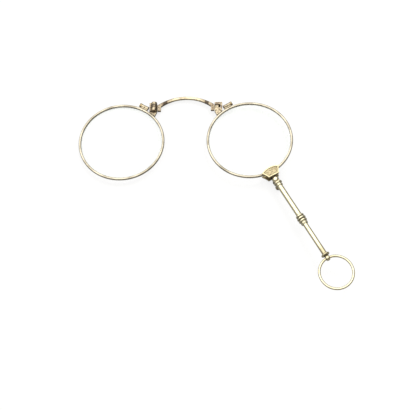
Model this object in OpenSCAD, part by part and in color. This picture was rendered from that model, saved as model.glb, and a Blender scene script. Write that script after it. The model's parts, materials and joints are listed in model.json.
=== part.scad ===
// Folding lorgnette: two round eyewires on a sprung bridge, carried by a slim turned handle.
// The open pair lies on its back with the lenses level. +X runs along the pair from the free
// eye to the eye on the handle, +Y points to the bridge and +Z out of the front of the lenses.
// The free eye and its hinge are the same parts as the other eye's, turned over.

/* [Lenses] */
// Distance between the lens centres when open
lens_pitch = 56; // [52:0.5:60]
// Diameter of a lens over its bevelled edge
lens_d = 36; // [34:0.5:38]
// Thickness of a lens at its centre
lens_centre = 1.9; // [1.5:0.1:2.2]
// Thickness of a lens where its bevel starts
lens_edge = 0.9; // [0.7:0.05:1.05]
// Depth of the bevel that sits in the eyewire's groove
bevel_depth = 0.35; // [0.25:0.05:0.5]

/* [Eyewires] */
// Width of an eyewire, from the lens opening outwards
rim_w = 1.15; // [1.05:0.05:1.5]
// Height of an eyewire, through the lens
rim_h = 1.3; // [1.2:0.05:1.6]
// Radius of the eyewire's rounded corners
rim_round = 0.3; // [0.1:0.05:0.4]
// Width of the slit where an eyewire opens to take its lens
slit_w = 0.12; // [0.08:0.02:0.2]

/* [Closing joints] */
// Gap between the hinge's leaf and the closing barrel
barrel_gap = 0.75; // [0.6:0.05:1.5]
// Diameter of the closing barrel
barrel_d = 1.6; // [1.4:0.05:1.7]
// Length of the closing barrel, both halves
barrel_len = 3.4; // [3:0.1:3.6]
// Height of the barrel above the eyewire
barrel_lift = 0.4; // [0.2:0.05:0.6]
// Diameter of the closing screw's shank
screw_d = 0.7; // [0.5:0.05:0.8]
// Diameter of the closing screw's head
screw_head_d = 1.8; // [1.5:0.05:1.8]
// Height of the closing screw's head
screw_head_h = 0.8; // [0.6:0.05:1]
// Width of the slot in the closing screw
slot_w = 0.4; // [0.2:0.05:0.5]

/* [Hinges] */
// Distance between folded layers: eye on the handle, bridge, free eye
layer = 1.7; // [1.7:0.05:2]
// Diameter of the hinge knuckles
knuckle_d = 2.5; // [2.2:0.05:2.6]
// Length of the lower ear, next to the eyewire
lower_ear = 1.5; // [1.2:0.1:1.8]
// Length of the bridge's knuckle, between the ears
middle_len = 1.5; // [1.4:0.1:2]
// Length of the upper ear
upper_ear = 1.1; // [0.9:0.1:1.4]
// Thickness of the leaf that joins the ears
leaf_t = 0.7; // [0.5:0.05:0.8]
// Diameter of the hinge pin
pin_d = 0.9; // [0.8:0.05:1]
// Diameter of the pin's domed head
pin_head_d = 1.7; // [1.4:0.05:2]
// Height of the pin's domed head
pin_head_h = 0.45; // [0.3:0.05:0.6]
// Wire diameter of the hinge springs
spring_wire = 0.22; // [0.16:0.02:0.24]
// Turns of each hinge spring
spring_turns = 3; // [2:1:3]

/* [Bridge] */
// Distance from the top of the hinges down to the top of the bar's ends
pad_drop = 0.9; // [0:0.1:1.2]
// Rise of the arch above the bar's ends
bridge_rise = 4.1; // [3:0.1:5]
// Width of the bar at the middle of the arch
bar_w = 1.25; // [1:0.05:1.5]
// Width of the bar where it meets the end pads
bar_end_w = 2.3; // [1.9:0.1:2.6]
// Thickness of the bar, front to back
bar_t = 1.2; // [1:0.05:1.2]
// Radius of the bar's rounded edges
bar_round = 0.35; // [0.1:0.05:0.45]
// Length of the pad at each end of the bar
pad_len = 1.5; // [1.2:0.1:2]
// Height of the end pads
pad_h = 3; // [2.8:0.1:3.2]

/* [Catch head] */
// Distance from the lens centre to the middle of the shield, past the eyewire's middle
shield_out = 0.15; // [-0.2:0.05:0.5]
// Half the shield's width, at its points
shield_half = 4.2; // [3.6:0.1:4.8]
// Distance from the shield's middle to the crown of its curved top
shield_top = 1.9; // [1.6:0.1:2.2]
// Distance from the shield's middle back to the level of its points
shield_shoulder = 0.6; // [0.4:0.1:0.8]
// Distance from the shield's middle to its lower edge
shield_low = 2.4; // [2.1:0.1:2.6]
// Half the width of the shield's lower edge
shield_foot = 2.5; // [2.2:0.1:2.8]
// Radius of the shield's hollow sides
shield_side_r = 8; // [5:0.5:12]
// Thickness of each shield plate
plate_t = 0.6; // [0.45:0.05:0.65]
// Height of the front plate's raised border
border_h = 0.2; // [0.1:0.05:0.3]
// Width of the front plate's raised border
border_w = 0.5; // [0.3:0.05:0.6]
// Half the width of the block between the plates
block_half = 1.9; // [1.6:0.1:2.1]
// Width of the square neck behind the shield
neck_w = 2; // [1.8:0.1:2.2]
// Length of the square neck
neck_len = 3; // [3:0.1:3.4]

/* [Catch] */
// Distance from the shield's lower edge to the catch pivot
pivot_out = 1.7; // [1.6:0.05:1.8]
// Distance from the neck down to the catch pivot
pivot_drop = 1.05; // [1:0.05:1.2]
// Diameter of the pivot pin
pivot_d = 0.6; // [0.5:0.05:0.7]
// Radius of the lever's hub
hub_r = 0.65; // [0.6:0.05:0.75]
// Width of the lever
lever_w = 1.4; // [1.2:0.05:1.5]
// Thickness of the ears that hold the pivot pin
catch_ear_t = 0.4; // [0.3:0.05:0.5]
// Thickness of the lever's arms
lever_t = 0.65; // [0.5:0.05:0.7]
// How far the nose reaches over the folded eyewire
nose_bite = 0.4; // [0.3:0.05:0.45]
// Thickness of the nose
nose_t = 0.5; // [0.4:0.05:0.6]
// Diameter of the thumb button
button_d = 2.2; // [1.8:0.1:2.4]
// Height of the thumb button
button_h = 0.95; // [0.7:0.05:1]

/* [Handle] */
// Direction of the handle, below the line through both lens centres
handle_angle = 61; // [56:0.5:66]
// Diameter of the collar and of the end disc
collar_d = 3.7; // [3.2:0.1:3.8]
// Thickness of the collar's disc and of the end disc
collar_t = 0.75; // [0.6:0.05:0.9]
// Length of the collar, from the neck to the upper tube
collar_len = 2; // [1.8:0.1:2.4]
// Outer diameter of the upper tube
upper_d = 2.4; // [2.2:0.1:2.8]
// Outer diameter of the lower tube
lower_d = 2.1; // [1.9:0.1:2.4]
// Wall of both tubes
tube_wall = 0.3; // [0.2:0.05:0.35]
// Length of the upper tube
upper_len = 15.3; // [12:0.1:20]
// Length of the lower tube
lower_len = 15.4; // [12:0.1:20]
// Depth of the spigots inside the tubes
spigot_len = 3; // [2:0.1:4]
// Diameter of the knop's largest ridge
knop_d = 4; // [3.6:0.1:4.4]
// Spacing of the knop's ridges
knop_pitch = 1.22; // [1.1:0.02:1.35]
// Length of the flare at the knop's upper end
knop_flare = 0.5; // [0.3:0.1:0.8]

/* [Ring] */
// Mean diameter of the handle's ring
ring_d = 14.1; // [12:0.1:18]
// Thickness of the ring's wire
ring_wire = 1.1; // [0.9:0.05:1.2]
// Diameter of the eye that the ring runs through
eye_d = 2.5; // [2.4:0.05:2.8]
// Width of the eye, between its flat sides
eye_w = 1.5; // [1.2:0.1:1.6]
// How far the ring hangs below the lens plane, in degrees
ring_droop = 6; // [0:1:10]

/* [Clearances] */
// Radial clearance where a part turns on a pin
run_gap = 0.03; // [0.02:0.005:0.05]
// Radial clearance of a driven or screwed fit
drive_gap = 0.01; // [0.005:0.005:0.02]
// Clearance of a soldered seam
solder_gap = 0.01; // [0.005:0.005:0.02]
// End play between knuckles and ears
end_gap = 0.1; // [0.06:0.01:0.14]
// Gap between the bridge's ends and the hinge ears
stop_gap = 0.15; // [0.12:0.01:0.2]
// Gap between the folded eyewire and the catch
catch_gap = 0.25; // [0.2:0.01:0.3]
// Clearance of a lens in its groove
lens_gap = 0.03; // [0.01:0.01:0.05]
// Radial clearance of the ring in its eye
ring_gap = 0.08; // [0.06:0.01:0.1]

/* [Hidden] */
$fn = 96;
eps = 0.01;

// Lenses and eyewires
lens_r = lens_d / 2;
rim_ir = lens_r - bevel_depth;
rim_or = rim_ir + rim_w;
bevel_tip = 0.09;
lens_steps = 10;

// Closing joints
barrel_r = barrel_d / 2;
barrel_out = rim_or + barrel_lift + barrel_r;
barrel_web = 0.6 * barrel_d;
slot_depth = 0.6 * screw_head_h;
screw_end = 0.1;

// Hinges: the axes run along Y, half a lens pitch apart, so that the folded lenses meet
hinge_x = -lens_pitch / 4;
hinge_z = -layer / 2;
ear_r = knuckle_d / 2;
leaf_in = ear_r + stop_gap;
leaf_out = leaf_in + leaf_t;
block_top = rim_h / 2 - hinge_z;
leaf_drop = 0.05;
ear_lift = 0.15;
foot_h = 2.9;
foot_toe = 0.1;
hinge_low = sqrt(pow(rim_or + ear_lift, 2) - pow(hinge_x + leaf_out, 2));
middle_low = hinge_low + lower_ear + end_gap;
middle_top = middle_low + middle_len;
upper_low = middle_top + end_gap;
hinge_top = upper_low + upper_ear;
pin_floor = 0.3;
pin_low = hinge_low + pin_floor;
barrel_angle = acos((-hinge_x - leaf_out) / barrel_out)
    + asin((barrel_len / 2 + barrel_gap) / barrel_out);
spring_land = 0.3;
spring_play = 0.05;
spring_pocket = (pin_d / 2 + ear_r) / 2 + spring_play;
spring_r = (pin_d / 2 + run_gap + spring_pocket) / 2;

// Bridge, measured from the middle of the pair
bridge_mid = -lens_pitch / 2;
bar_end = lens_pitch / 4 - ear_r - stop_gap;
pad_top = hinge_top - pad_drop;
bridge_top = pad_top + bridge_rise;
arch_inner_rise = bridge_rise - bar_w + bar_end_w;
arch_r = (pow(bar_end, 2) + pow(bridge_rise, 2)) / (2 * bridge_rise);
arch_inner_r = (pow(bar_end, 2) + pow(arch_inner_rise, 2)) / (2 * arch_inner_rise);
arch_inner_top = bridge_top - bar_w;
pad_fillet = 0.9;
bar_low = -bar_t / 2 - hinge_z;
neck_reach = 0.56 * ear_r;

// Catch head: v runs out from the lens centre along the handle, z as everywhere
shield_v = rim_ir + rim_w / 2 + shield_out;
front_in = rim_h / 2 + solder_gap;
front_out = front_in + plate_t;
back_out = -(2 * layer - rim_h / 2 - catch_gap);
back_in = back_out + plate_t;
handle_z = (front_out + back_out) / 2;
top_arc_rise = shield_top - shield_shoulder;
top_arc_r = (pow(shield_half, 2) + pow(top_arc_rise, 2)) / (2 * top_arc_rise);
side_chord = [shield_low + shield_shoulder, shield_foot - shield_half];
side_mid = [(shield_low - shield_shoulder) / 2, (shield_foot + shield_half) / 2];
side_reach = sqrt(pow(shield_side_r, 2) - pow(norm(side_chord) / 2, 2));
side_normal = [-side_chord[1], side_chord[0]] / norm(side_chord);
side_centre = side_mid + side_normal * side_reach;
tip_blunt = 0.06;
seat_depth = 0.75 * rim_w;
block_v = shield_v + shield_low;
neck_v = block_v + neck_len;

// Catch
pivot_v = block_v + pivot_out;
pivot_z = handle_z - neck_w / 2 - pivot_drop;
lever_play = 0.05;
catch_ear_u = lever_w / 2 + lever_play;
catch_ear_v = 0.75;
hook_v = rim_or + catch_gap;
hook_t = 0.8;
hook_chamfer = 0.3;
nose_top = -(2 * layer + rim_h / 2 + catch_gap);
nose_low = nose_top - nose_t;
nose_tip = rim_or - nose_bite;
arm_top = back_out - 0.22;
arm_low = arm_top - lever_t;
tail_drop = 0.55;
tail_top = pivot_z - tail_drop;
tail_low = tail_top - lever_t;
crank_top = 1.1;
crank_low = 0.9;
button_v = neck_v + 0.7;
tail_end = button_v + 0.75;
hub_w = 0.5 * lever_w;
catch_wire = 0.18;
catch_turns = 2;
coil_gap = 0.06;
pocket_r = pivot_d / 2 + 2 * coil_gap + catch_wire;
pivot_head_d = 1.6 * pivot_d;
pivot_head_h = 0.25;

// Handle: turned parts, placed by their distance v from the lens centre
collar_v = neck_v;
sleeve_r = upper_d / 2 + 0.15;
lip_r = upper_d / 2 + 0.35;
lip_len = 0.6;
lip_round = 0.25;
upper_v = collar_v + collar_len;
knop_v = upper_v + upper_len;
knop_ridges = [0.9, 1, 0.95, 0.8] * knop_d;
knop_len = knop_flare + len(knop_ridges) * knop_pitch;
lower_v = knop_v + knop_len;
cap_v = lower_v + lower_len;
ridge_r = 0.42 * knop_pitch;
knop_core_r = upper_d / 2 + 0.15;
upper_bore = upper_d / 2 - tube_wall;
lower_bore = lower_d / 2 - tube_wall;
cap_neck = 0.3;
cap_neck_r = lower_d / 2 + 0.1;
eye_foot_r = 0.28 * eye_d;
eye_rise = 0.05;
disc_v = cap_v + cap_neck;
eye_v = disc_v + collar_t + eye_rise + eye_d / 2;
ring_r = ring_d / 2;

// Corners of the whole, so that its base centre is the origin
ring_v = eye_v + ring_r * cos(ring_droop);
ring_reach_x = ring_r * sqrt(1 - pow(sin(ring_droop) * cos(handle_angle), 2)) + ring_wire / 2;
ring_reach_y = ring_r * sqrt(1 - pow(sin(ring_droop) * sin(handle_angle), 2)) + ring_wire / 2;
x_low = -lens_pitch - rim_or;
x_high = ring_v * cos(handle_angle) + ring_reach_x;
y_low = -ring_v * sin(handle_angle) - ring_reach_y;
y_high = bridge_top;
z_low = nose_low;

// Placing

module seat() translate([-(x_low + x_high) / 2, -(y_low + y_high) / 2, -z_low]) children();

module turned_over() translate([-lens_pitch, 0, 0]) rotate([0, 180, 0]) children();

module at_hinge() translate([hinge_x, 0, hinge_z]) children();

module at_bridge() translate([bridge_mid, 0, 0]) children();

module at_barrel() rotate([0, 0, 180 - barrel_angle]) translate([barrel_out, 0, 0]) children();

module on_handle() rotate([0, 0, -handle_angle]) children();

module on_handle_axis() on_handle() translate([0, 0, handle_z]) rotate([0, 90, 0]) children();

module y_rod(r, y0, y1) translate([0, y0, 0]) rotate([-90, 0, 0]) cylinder(r = r, h = y1 - y0);

// A block between two corners
module block(low, high) translate(low) cube(high - low);

// Shared forms

// A coil along Z, as one unbroken wire
module coil(r, wire, turns, length) {
    rings = 8 * turns;
    sides = 6;
    points = [
        for (i = [0:rings], k = [0:sides - 1])
            let (turn = i * 360 * turns / rings, side = k * 360 / sides,
                 reach = r + wire / 2 * cos(side))
            [reach * cos(turn), reach * sin(turn), i * length / rings + wire / 2 * sin(side)]
    ];
    walls = [
        for (i = [0:rings - 1], k = [0:sides - 1])
            let (a = i * sides + k, b = i * sides + (k + 1) % sides)
            each [[a, b + sides, b], [a, a + sides, b + sides]]
    ];
    start = [[for (k = [0:sides - 1]) k]];
    end = [[for (k = [0:sides - 1]) rings * sides + sides - 1 - k]];
    polyhedron(points, concat(walls, start, end));
}

// A low dome on the end of a rod along Y
module dome(d, h, y) {
    ball_r = (pow(d / 2, 2) + pow(h, 2)) / (2 * h);
    intersection() {
        translate([0, y + h - ball_r, 0]) sphere(r = ball_r);
        y_rod(d / 2, y, y + h);
    }
}

// A rectangle with rounded corners, exact arcs
module rounded_rect(low, high, r) {
    translate([low[0] + r, low[1]]) square([high[0] - low[0] - 2 * r, high[1] - low[1]]);
    translate([low[0], low[1] + r]) square([high[0] - low[0], high[1] - low[1] - 2 * r]);
    for (x = [low[0] + r, high[0] - r], y = [low[1] + r, high[1] - r])
        translate([x, y]) circle(r = r);
}

// Eyes

module lens() {
    sag = (lens_centre - lens_edge) / 2;
    ball_r = (pow(rim_ir, 2) + pow(sag, 2)) / (2 * sag);
    face = [
        for (i = [0:lens_steps])
            let (x = rim_ir * i / lens_steps)
            [x, lens_centre / 2 - ball_r + sqrt(pow(ball_r, 2) - pow(x, 2))]
    ];
    back = [for (i = [lens_steps:-1:0]) [face[i][0], -face[i][1]]];
    rotate_extrude()
        polygon(concat(face, [[lens_r, bevel_tip], [lens_r, -bevel_tip]], back));
}

module eyewire() {
    groove = lens_edge / 2 + lens_gap;
    groove_r = lens_r + lens_gap;
    difference() {
        rotate_extrude()
            difference() {
                rounded_rect([rim_ir, -rim_h / 2], [rim_or, rim_h / 2], rim_round);
                polygon([
                    [rim_ir - eps, -groove], [groove_r, -bevel_tip - lens_gap],
                    [groove_r, bevel_tip + lens_gap], [rim_ir - eps, groove]
                ]);
            }
        rotate([0, 0, 180 - barrel_angle])
            block([rim_ir - 1, -slit_w / 2, -rim_h], [rim_or + 1, slit_w / 2, rim_h]);
    }
}

// One half of the closing barrel, from y0 to y1 along the screw
module barrel_half(y0, y1, bore) {
    difference() {
        union() {
            y_rod(barrel_r, y0, y1);
            block([-barrel_r - barrel_lift - solder_gap, y0, -barrel_web / 2], [0, y1, barrel_web / 2]);
        }
        y_rod(bore, y0 - eps, y1 + eps);
        translate([-barrel_out, 0, 0])
            cylinder(r = rim_or + solder_gap, h = 2 * rim_h, center = true);
    }
}

module closing_barrel() {
    at_barrel() {
        barrel_half(slit_w / 2, barrel_len / 2, screw_d / 2 + drive_gap);
        barrel_half(-barrel_len / 2, -slit_w / 2, screw_d / 2 + run_gap);
    }
}

module closing_screw() {
    head_y = -barrel_len / 2 - solder_gap;
    at_barrel()
        difference() {
            union() {
                y_rod(screw_d / 2, head_y, barrel_len / 2 - screw_end);
                y_rod(screw_head_d / 2, head_y - screw_head_h, head_y);
            }
            block(
                [-slot_w / 2, head_y - screw_head_h - eps, -screw_head_d],
                [slot_w / 2, head_y - screw_head_h + slot_depth, screw_head_d]
            );
        }
}

// Hinges

module hinge_ear(y0, y1) {
    y_rod(ear_r, y0, y1);
    block([-ear_r, y0, 0], [leaf_out, y1, block_top]);
}

module hinge_block() {
    difference() {
        at_hinge()
            difference() {
                union() {
                    hinge_ear(hinge_low, hinge_low + lower_ear);
                    hinge_ear(upper_low, hinge_top);
                    block([leaf_in, hinge_low, -leaf_drop], [leaf_out, hinge_top, block_top]);
                    translate([0, 0, block_top - rim_h])
                        linear_extrude(rim_h)
                            polygon([
                                [-ear_r, hinge_low + eps], [foot_toe, hinge_low - foot_h],
                                [leaf_out, hinge_low - foot_h], [leaf_out, hinge_low + eps]
                            ]);
                }
                y_rod(pin_d / 2 + drive_gap, pin_low, hinge_top + eps);
            }
        cylinder(r = rim_or + solder_gap, h = 2 * rim_h, center = true);
    }
}

module hinge_pin() {
    at_hinge() {
        y_rod(pin_d / 2, pin_low + eps, hinge_top + solder_gap);
        dome(pin_head_d, pin_head_h, hinge_top + solder_gap);
    }
}

module hinge_spring() {
    spring_len = middle_len - spring_land - spring_wire - 2 * spring_play;
    at_hinge()
        translate([0, middle_top - spring_play - spring_wire / 2, 0])
            rotate([90, 0, 0])
                coil(spring_r, spring_wire, spring_turns, spring_len);
}

module bridge_knuckle() {
    at_hinge()
        difference() {
            union() {
                y_rod(ear_r, middle_low, middle_top);
                block(
                    [-ear_r - stop_gap, middle_low, bar_low],
                    [-neck_reach, middle_top, sqrt(pow(ear_r, 2) - pow(neck_reach, 2))]
                );
            }
            y_rod(pin_d / 2 + run_gap, middle_low - eps, middle_top + eps);
            y_rod(spring_pocket, middle_low + spring_land, middle_top + eps);
        }
}

// Bridge

// The hollow under the arch, flared to round the bar's edges
module arch_cutter() {
    translate([0, arch_inner_top - arch_inner_r, 0])
        rotate_extrude()
            difference() {
                translate([0, -bar_t / 2 - eps])
                    square([arch_inner_r + bar_round, bar_t + 2 * eps]);
                for (side = [-1, 1])
                    translate([arch_inner_r + bar_round, side * (bar_t / 2 - bar_round)])
                        circle(r = bar_round);
                translate([arch_inner_r, bar_round - bar_t / 2])
                    square([bar_round + eps, bar_t - 2 * bar_round]);
            }
}

// The end pads, each with a fillet into the arch
module pad_zone() {
    pad_x = bar_end - pad_len;
    fillet_x = pad_x - pad_fillet;
    fillet_y = arch_inner_top - arch_inner_r - pad_fillet
        + sqrt(pow(arch_inner_r, 2) - pow(fillet_x, 2));
    for (side = [0, 1])
        mirror([side, 0, 0])
            translate([0, 0, -bar_t])
                linear_extrude(2 * bar_t) {
                    translate([pad_x - eps, 0]) square([pad_len + 1, bridge_top]);
                    difference() {
                        translate([fillet_x, fillet_y]) square([pad_fillet, bridge_top - fillet_y]);
                        translate([fillet_x, fillet_y]) circle(r = pad_fillet);
                    }
                }
}

module bridge_bar() {
    at_bridge()
        difference() {
            intersection() {
                translate([0, bridge_top - arch_r, 0])
                    rotate_extrude()
                        rounded_rect([0, -bar_t / 2], [arch_r, bar_t / 2], bar_round);
                block([-bar_end, pad_top - pad_h, -bar_t], [bar_end, bridge_top + 1, bar_t]);
            }
            difference() {
                arch_cutter();
                pad_zone();
            }
        }
}

// Catch head

module shield(inset) {
    translate([shield_v, 0])
        difference() {
            intersection() {
                translate([top_arc_r - shield_top, 0]) circle(r = top_arc_r - inset);
                translate([-2 * shield_top, -shield_half + tip_blunt + inset])
                    square([2 * shield_top + shield_low - inset, 2 * (shield_half - tip_blunt - inset)]);
            }
            for (side = [-1, 1])
                translate([side_centre[0], side * side_centre[1]]) circle(r = shield_side_r + inset);
        }
}

module front_plate() {
    on_handle()
        translate([0, 0, front_in]) {
            linear_extrude(plate_t) shield(0);
            translate([0, 0, plate_t - eps])
                linear_extrude(border_h + eps)
                    difference() {
                        shield(0);
                        shield(border_w);
                    }
        }
}

module back_plate() {
    on_handle()
        translate([0, 0, back_out])
            linear_extrude(plate_t)
                shield(0);
}

module catch_block() {
    on_handle()
        difference() {
            union() {
                block([rim_or - seat_depth, -block_half, back_in], [block_v, block_half, front_in]);
                block(
                    [block_v - eps, -neck_w / 2, handle_z - neck_w / 2],
                    [neck_v, neck_w / 2, handle_z + neck_w / 2]
                );
                translate([neck_v - eps, 0, handle_z])
                    rotate([0, 90, 0])
                        cylinder(r = upper_bore - drive_gap, h = collar_len + spigot_len);
                for (side = [-1, 1])
                    translate([pivot_v, side * (catch_ear_u + catch_ear_t / 2), 0])
                        catch_ear();
            }
            translate([0, 0, -rim_h / 2 - solder_gap])
                cylinder(r = rim_or + solder_gap, h = 2 * rim_h);
            translate([pivot_v, 0, pivot_z]) y_rod(pivot_d / 2 + drive_gap, -neck_w, neck_w);
        }
}

// An ear under the neck for the catch pin
module catch_ear() {
    block(
        [-catch_ear_v, -catch_ear_t / 2, pivot_z],
        [catch_ear_v, catch_ear_t / 2, handle_z - neck_w / 4]
    );
    translate([0, 0, pivot_z]) y_rod(catch_ear_v, -catch_ear_t / 2, catch_ear_t / 2);
}

module catch_lever() {
    on_handle()
        difference() {
            union() {
                translate([0, lever_w / 2, 0])
                    rotate([90, 0, 0])
                        linear_extrude(lever_w)
                            polygon([
                                [hook_v, arm_top], [pivot_v - hub_r / 2, arm_top],
                                [pivot_v + crank_top, tail_top], [tail_end, tail_top],
                                [tail_end, tail_low], [pivot_v + crank_low, tail_low],
                                [pivot_v - hub_r / 2, arm_low], [hook_v + hook_t, arm_low],
                                [hook_v + hook_t, nose_low + hook_chamfer], [hook_v, nose_low],
                                [nose_tip, nose_top - 0.3 * nose_t], [nose_tip, nose_top],
                                [hook_v, nose_top]
                            ]);
                translate([pivot_v, 0, pivot_z]) y_rod(hub_r, -lever_w / 2, lever_w / 2);
            }
            translate([pivot_v, 0, pivot_z]) {
                y_rod(pivot_d / 2 + run_gap, -lever_w, lever_w);
                y_rod(pocket_r, lever_w / 2 - hub_w, lever_w);
                block([-pocket_r, lever_w / 2 - hub_w, 0], [pocket_r, lever_w, hub_r + eps]);
            }
        }
}

module release_button() {
    on_handle()
        translate([button_v, 0, tail_low - solder_gap])
            rotate([180, 0, 0])
                rotate_extrude()
                    intersection() {
                        rounded_rect([-button_d / 2, 0], [button_d / 2, button_h], button_h * 0.4);
                        square([button_d, button_h]);
                    }
}

module catch_pin() {
    reach = catch_ear_u + catch_ear_t + solder_gap;
    on_handle()
        translate([pivot_v, 0, pivot_z]) {
            y_rod(pivot_d / 2, -reach, reach);
            dome(pivot_head_d, pivot_head_h, reach);
            mirror([0, 1, 0]) dome(pivot_head_d, pivot_head_h, reach);
        }
}

module catch_spring() {
    spring_len = hub_w - catch_wire - 2 * coil_gap;
    on_handle()
        translate([pivot_v, lever_w / 2 - catch_wire / 2 - coil_gap, pivot_z])
            rotate([90, 0, 0])
                coil(pivot_d / 2 + coil_gap + catch_wire / 2, catch_wire, catch_turns, spring_len);
}

// Handle

module collar() {
    on_handle_axis()
        translate([0, 0, collar_v])
            rotate_extrude()
                difference() {
                    union() {
                        rounded_rect([0, 0], [collar_d / 2, collar_t], collar_t * 0.35);
                        square([sleeve_r, collar_len - lip_len / 2]);
                        rounded_rect([0, collar_len - lip_len], [lip_r, collar_len], lip_round);
                    }
                    translate([-1, -eps]) square([upper_bore + 1, collar_len + 2 * eps]);
                }
}

module tube(v, length, d) {
    on_handle_axis()
        translate([0, 0, v])
            difference() {
                cylinder(r = d / 2, h = length);
                translate([0, 0, -eps]) cylinder(r = d / 2 - tube_wall, h = length + 2 * eps);
            }
}

module upper_tube() tube(upper_v, upper_len, upper_d);

module lower_tube() tube(lower_v, lower_len, lower_d);

module handle_knop() {
    on_handle_axis()
        translate([0, 0, knop_v])
            rotate_extrude() {
                polygon([
                    [0, 0], [upper_d / 2, 0], [knop_ridges[0] / 2 - ridge_r, knop_flare + 0.1],
                    [0, knop_flare + 0.1]
                ]);
                translate([0, knop_flare]) square([knop_core_r, knop_len - knop_flare]);
                for (i = [0:len(knop_ridges) - 1])
                    translate([0, knop_flare + (i + 0.5) * knop_pitch]) {
                        translate([knop_ridges[i] / 2 - ridge_r, 0]) circle(r = ridge_r);
                        translate([0, -ridge_r]) square([knop_ridges[i] / 2 - ridge_r, 2 * ridge_r]);
                    }
                translate([0, -spigot_len])
                    square([upper_bore - drive_gap, spigot_len + eps]);
                translate([0, knop_len - eps])
                    square([lower_bore - drive_gap, spigot_len + eps]);
            }
}

module end_cap() {
    difference() {
        on_handle_axis()
            translate([0, 0, cap_v]) {
                rotate_extrude() {
                    translate([0, -spigot_len]) square([lower_bore - drive_gap, spigot_len + eps]);
                    square([cap_neck_r, cap_neck + eps]);
                    translate([0, cap_neck]) square([collar_d / 2 - collar_t / 2, collar_t]);
                    translate([collar_d / 2 - collar_t / 2, cap_neck + collar_t / 2])
                        circle(r = collar_t / 2);
                    square([eye_foot_r, eye_v - cap_v]);
                }
                intersection() {
                    translate([0, 0, eye_v - cap_v]) sphere(r = eye_d / 2);
                    translate([-eye_d, -eye_w / 2, 0]) cube([2 * eye_d, eye_w, eye_v - cap_v + eye_d]);
                }
            }
        on_handle()
            translate([eye_v, 0, handle_z])
                y_rod(ring_wire / 2 + ring_gap, -eye_d, eye_d);
    }
}

module handle_ring() {
    on_handle()
        translate([eye_v, 0, handle_z])
            rotate([0, ring_droop, 0])
                translate([ring_r, 0, 0])
                    rotate_extrude()
                        translate([ring_r, 0]) circle(r = ring_wire / 2);
}

// Colours of the real pieces
gold = [0.78, 0.68, 0.45];
old_gold = [0.62, 0.55, 0.4];
steel = [0.45, 0.43, 0.4];
glass = [0.9, 0.94, 0.95, 0.3];

color(glass) seat() lens();  // right_lens
color(old_gold) seat() eyewire();  // right_rim
color(gold) seat() closing_barrel();  // right_closing_barrel
color(steel) seat() closing_screw();  // right_closing_screw
color(gold) seat() hinge_block();  // right_hinge_block
color(steel) seat() hinge_pin();  // right_hinge_pin
color(steel) seat() hinge_spring();  // right_hinge_spring
color(gold) seat() bridge_knuckle();  // right_bridge_knuckle
color(glass) seat() turned_over() lens();  // left_lens
color(old_gold) seat() turned_over() eyewire();  // left_rim
color(gold) seat() turned_over() closing_barrel();  // left_closing_barrel
color(steel) seat() turned_over() closing_screw();  // left_closing_screw
color(gold) seat() turned_over() hinge_block();  // left_hinge_block
color(steel) seat() turned_over() hinge_pin();  // left_hinge_pin
color(steel) seat() turned_over() hinge_spring();  // left_hinge_spring
color(gold) seat() turned_over() bridge_knuckle();  // left_bridge_knuckle
color(gold) seat() bridge_bar();
color(gold) seat() front_plate();
color(gold) seat() back_plate();
color(old_gold) seat() catch_block();
color(old_gold) seat() catch_lever();
color(old_gold) seat() release_button();
color(steel) seat() catch_pin();
color(steel) seat() catch_spring();
color(gold) seat() collar();
color(gold) seat() upper_tube();
color(gold) seat() handle_knop();
color(gold) seat() lower_tube();
color(gold) seat() end_cap();
color(gold) seat() handle_ring();
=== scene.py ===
"""Dresses a folding lorgnette in worn gold: a carved shield, a chased bridge and clear lenses."""

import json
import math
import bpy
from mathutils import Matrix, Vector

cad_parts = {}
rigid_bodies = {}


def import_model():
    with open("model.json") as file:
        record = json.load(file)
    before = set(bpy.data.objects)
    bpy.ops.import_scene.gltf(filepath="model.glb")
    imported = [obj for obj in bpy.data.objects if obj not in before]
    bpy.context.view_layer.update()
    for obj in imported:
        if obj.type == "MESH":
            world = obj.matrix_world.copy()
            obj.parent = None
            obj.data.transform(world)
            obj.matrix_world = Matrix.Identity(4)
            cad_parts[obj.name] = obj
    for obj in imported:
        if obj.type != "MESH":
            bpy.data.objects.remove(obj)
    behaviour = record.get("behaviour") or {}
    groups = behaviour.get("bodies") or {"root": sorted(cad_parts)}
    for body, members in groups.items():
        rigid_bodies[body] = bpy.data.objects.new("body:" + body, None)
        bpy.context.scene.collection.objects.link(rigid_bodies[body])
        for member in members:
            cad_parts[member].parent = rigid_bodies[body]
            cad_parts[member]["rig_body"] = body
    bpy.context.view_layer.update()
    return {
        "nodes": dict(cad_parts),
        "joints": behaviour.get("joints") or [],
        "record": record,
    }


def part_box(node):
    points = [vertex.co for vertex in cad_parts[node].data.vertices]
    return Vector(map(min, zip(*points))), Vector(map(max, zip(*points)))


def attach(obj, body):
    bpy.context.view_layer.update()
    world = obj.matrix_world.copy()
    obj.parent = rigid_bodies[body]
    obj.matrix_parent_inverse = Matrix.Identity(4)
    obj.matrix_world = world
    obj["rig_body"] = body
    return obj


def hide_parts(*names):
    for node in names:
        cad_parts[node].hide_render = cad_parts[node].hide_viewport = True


bl_info = {
    "name": "Folding lorgnette",
    "version": (1, 0, 0),
    "blender": (4, 5, 0),
    "location": "View3D > Sidebar > Lorgnette",
    "description": "Finishes the pieces of a folding lorgnette and sets a white studio round it",
    "category": "Object",
}

import bmesh
import bpy
from mathutils import Matrix, Vector
from mathutils.bvhtree import BVHTree

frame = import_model()

MM = 0.001
UP = Vector((0, 0, 1))
FULL_TURN = 2 * math.pi
JOINTS = {joint["name"]: joint for joint in frame["joints"]}
SLOT_OF = {row["node"]: row["material_slot"] for row in frame["record"]["subparts"]}
BODY_OF = {node: piece["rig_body"] for node, piece in frame["nodes"].items()}


def middle(node):
    """The centre of a CAD node's box."""
    low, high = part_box(node)
    return (low + high) / 2


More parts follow.
